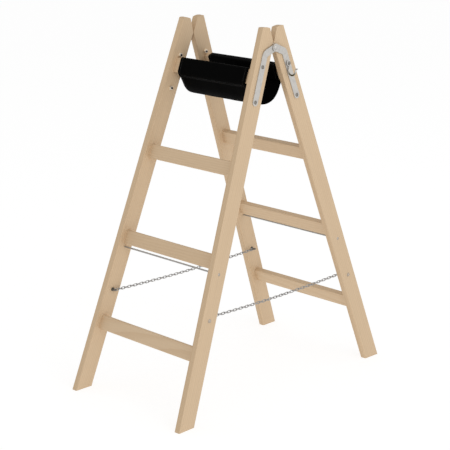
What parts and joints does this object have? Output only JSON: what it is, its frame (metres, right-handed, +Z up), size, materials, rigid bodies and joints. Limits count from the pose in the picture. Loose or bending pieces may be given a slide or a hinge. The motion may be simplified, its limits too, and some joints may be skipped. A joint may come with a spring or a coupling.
{
  "type": "trestle ladder",
  "caption": "Wooden double-sided rung ladder: two hinged sections, spreader chains, tie rods, a cloth tool tray between the top rungs and a bucket hook.",
  "frame": {"origin": "floor level, midway between the four feet", "axes": "+Z up, +X along the rungs towards the side with the bucket hook, -Y towards the front section and +Y towards the rear one"},
  "size_m": [0.4902, 0.9258, 1.1425],
  "materials": {
    "spruce": "planed, unvarnished",
    "zinc_steel": "zinc plated",
    "chain_steel": "zinc plated",
    "dark_steel": "dull grey",
    "tray_cloth": "coated black cloth"
  },
  "bodies": {
    "front_section": {"front_left_stile": "spruce", "front_right_stile": "spruce", "front_rung_1": "spruce", "front_rung_2": "spruce", "front_rung_3": "spruce", "front_rung_4": "spruce", "front_left_hinge_strap": "zinc_steel", "front_right_hinge_strap": "zinc_steel", "front_hinge_bolts": "dark_steel", "front_hinge_washers": "zinc_steel", "front_hinge_nuts": "dark_steel", "front_tie_rod": "zinc_steel", "front_left_eye_bolt": "dark_steel", "front_right_eye_bolt": "dark_steel", "front_cap_nuts": "zinc_steel", "tray_front_sleeve": "tray_cloth", "left_hinge_rivet": "zinc_steel", "right_hinge_rivet": "zinc_steel", "tray_trough": "tray_cloth"},
    "rear_section": {"rear_left_stile": "spruce", "rear_right_stile": "spruce", "rear_rung_1": "spruce", "rear_rung_2": "spruce", "rear_rung_3": "spruce", "rear_rung_4": "spruce", "rear_left_hinge_strap": "zinc_steel", "rear_right_hinge_strap": "zinc_steel", "rear_hinge_bolts": "dark_steel", "rear_hinge_washers": "zinc_steel", "rear_hinge_nuts": "dark_steel", "rear_tie_rod": "zinc_steel", "rear_left_eye_bolt": "dark_steel", "rear_right_eye_bolt": "dark_steel", "rear_cap_nuts": "zinc_steel", "tray_rear_sleeve": "tray_cloth", "hook_bolt": "dark_steel"},
    "bucket_hook": {"bucket_hook": "zinc_steel"},
    "left_chain_front_lead": {"left_chain_front_lead": "chain_steel"},
    "left_chain_front_run": {"left_chain_front_run": "chain_steel"},
    "left_chain_rear_run": {"left_chain_rear_run": "chain_steel"},
    "left_chain_rear_lead": {"left_chain_rear_lead": "chain_steel"},
    "right_chain_front_lead": {"right_chain_front_lead": "chain_steel"},
    "right_chain_front_run": {"right_chain_front_run": "chain_steel"},
    "right_chain_rear_run": {"right_chain_rear_run": "chain_steel"},
    "right_chain_rear_lead": {"right_chain_rear_lead": "chain_steel"}
  },
  "joints": [
    {"name": "fold", "type": "hinge", "parent": "front_section", "child": "rear_section", "pos_m": [0, 0, 1.08], "axis": [-1, 0, 0], "range_deg": [0, 40.2], "deforming": ["left_chain_front_lead", "left_chain_front_run", "left_chain_rear_run", "left_chain_rear_lead", "right_chain_front_lead", "right_chain_front_run", "right_chain_rear_run", "right_chain_rear_lead", "tray_trough"]},
    {"name": "hook_swing", "type": "hinge", "parent": "rear_section", "child": "bucket_hook", "pos_m": [0.19159, 0.05498, 1.02746], "axis": [0.9986, -0.0185, 0.0505], "range_deg": [-60, 60]},
    {"name": "left_chain_front_hang", "type": "hinge", "parent": "front_section", "child": "left_chain_front_lead", "pos_m": [-0.19692, -0.31276, 0.30735], "axis": [-1, 0, 0], "range_deg": [0, 96]},
    {"name": "left_chain_front_bend", "type": "hinge", "parent": "left_chain_front_lead", "child": "left_chain_front_run", "pos_m": [-0.19692, -0.25042, 0.30483], "axis": [-1, 0, 0], "range_deg": [0, 12.2]},
    {"name": "left_chain_rear_hang", "type": "hinge", "parent": "rear_section", "child": "left_chain_rear_lead", "pos_m": [-0.19692, 0.31276, 0.30735], "axis": [1, 0, 0], "range_deg": [0, 96]},
    {"name": "left_chain_rear_bend", "type": "hinge", "parent": "left_chain_rear_lead", "child": "left_chain_rear_run", "pos_m": [-0.19692, 0.25042, 0.30483], "axis": [1, 0, 0], "range_deg": [0, 12.2]},
    {"name": "right_chain_front_hang", "type": "hinge", "parent": "front_section", "child": "right_chain_front_lead", "pos_m": [0.19692, -0.31276, 0.30735], "axis": [-1, 0, 0], "range_deg": [0, 96]},
    {"name": "right_chain_front_bend", "type": "hinge", "parent": "right_chain_front_lead", "child": "right_chain_front_run", "pos_m": [0.19692, -0.25042, 0.30483], "axis": [-1, 0, 0], "range_deg": [0, 12.2]},
    {"name": "right_chain_rear_hang", "type": "hinge", "parent": "rear_section", "child": "right_chain_rear_lead", "pos_m": [0.19692, 0.31276, 0.30735], "axis": [1, 0, 0], "range_deg": [0, 96]},
    {"name": "right_chain_rear_bend", "type": "hinge", "parent": "right_chain_rear_lead", "child": "right_chain_rear_run", "pos_m": [0.19692, 0.25042, 0.30483], "axis": [1, 0, 0], "range_deg": [0, 12.2]}
  ],
  "couplings": [
    {"joint": "left_chain_front_hang", "follows": "fold", "ratio": 2.3831},
    {"joint": "left_chain_front_bend", "follows": "fold", "ratio": 0.2985},
    {"joint": "left_chain_rear_hang", "follows": "fold", "ratio": 2.3831},
    {"joint": "left_chain_rear_bend", "follows": "fold", "ratio": 0.2985},
    {"joint": "right_chain_front_hang", "follows": "fold", "ratio": 2.3831},
    {"joint": "right_chain_front_bend", "follows": "fold", "ratio": 0.2985},
    {"joint": "right_chain_rear_hang", "follows": "fold", "ratio": 2.3831},
    {"joint": "right_chain_rear_bend", "follows": "fold", "ratio": 0.2985}
  ]
}
